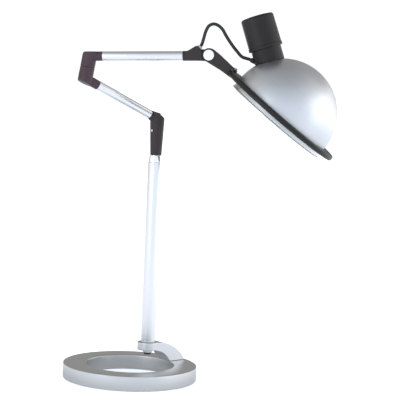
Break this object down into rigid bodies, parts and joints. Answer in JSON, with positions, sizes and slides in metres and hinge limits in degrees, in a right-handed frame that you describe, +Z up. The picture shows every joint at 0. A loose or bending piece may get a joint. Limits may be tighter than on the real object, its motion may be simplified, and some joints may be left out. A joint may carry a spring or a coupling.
{
  "type": "desk lamp",
  "caption": "Swing arm desk lamp with a ring base, an upright post, two tubular arms joined by an elbow, and a tilting half-round shade.",
  "frame": {"origin": "on the table, under the middle of the lamp's bounding box seen from above", "axes": "+Z up; +X to the lamp's right, the way the shade reaches; +Y to its back"},
  "size_m": [0.3631, 0.2562, 0.5242],
  "materials": {
    "cast_metal": "fine brushed satin",
    "bracket_metal": "satin, fine brushed",
    "pad_rubber": "matt",
    "steel": "plain turned",
    "brass": "turned",
    "tube_metal": "bright anodised",
    "polished": "polished",
    "black_moulding": "satin black, fine grain",
    "grey_plastic": "satin grey",
    "soft_black": "matt",
    "spun_metal": "satin spun",
    "white_plastic": "satin white",
    "bulb_metal": "bright",
    "frosted_glass": "frosted white"
  },
  "bodies": {
    "base": {"base_ring": "cast_metal", "base_pad": "pad_rubber", "base_bracket": "bracket_metal", "bracket_screw_1": "steel", "bracket_screw_2": "steel", "post_nipple": "brass", "post_nut": "steel", "inlet_bush": "soft_black", "post_tube": "tube_metal", "post_plug": "steel", "post_collar": "polished", "post_spigot": "steel"},
    "lower_arm": {"post_connector": "black_moulding", "swivel_bush": "brass", "connector_screw": "polished", "lower_arm_tube": "tube_metal", "elbow_lower": "black_moulding", "elbow_pin": "steel", "elbow_washer": "soft_black", "elbow_retainer": "steel"},
    "upper_arm": {"elbow_upper": "black_moulding", "elbow_bush": "brass", "upper_arm_tube": "tube_metal", "end_connector": "black_moulding", "lead_gland": "grey_plastic", "hinge_washer_front": "grey_plastic", "hinge_washer_back": "grey_plastic", "head_lead": "soft_black"},
    "head": {"head_link": "black_moulding", "hinge_bolt": "steel", "hinge_disc_front": "polished", "hinge_disc_back": "polished", "rim_band": "black_moulding", "link_screw_1": "steel", "link_screw_2": "steel", "shade_dome": "spun_metal", "socket_neck": "black_moulding", "socket_cap": "black_moulding", "neck_gland": "black_moulding", "lampholder": "white_plastic", "holder_nut": "white_plastic", "bulb_cap": "bulb_metal", "bulb_glass": "frosted_glass"}
  },
  "joints": [
    {"name": "post_swivel", "type": "hinge", "parent": "base", "child": "lower_arm", "pos_m": [-0.0622, 0.0521, 0.3186], "axis": [0, 0, 1], "range_deg": [-165, 165]},
    {"name": "elbow_swivel", "type": "hinge", "parent": "lower_arm", "child": "upper_arm", "pos_m": [-0.16213, 0.00118, 0.4387], "axis": [0.1486, 0.0757, 0.986], "range_deg": [-150, 150]},
    {"name": "head_tilt", "type": "hinge", "parent": "upper_arm", "child": "head", "pos_m": [0.00431, -0.02188, 0.46261], "axis": [0.1461, 0.9893, 0], "range_deg": [-45, 24], "deforming": ["head_lead"]}
  ]
}
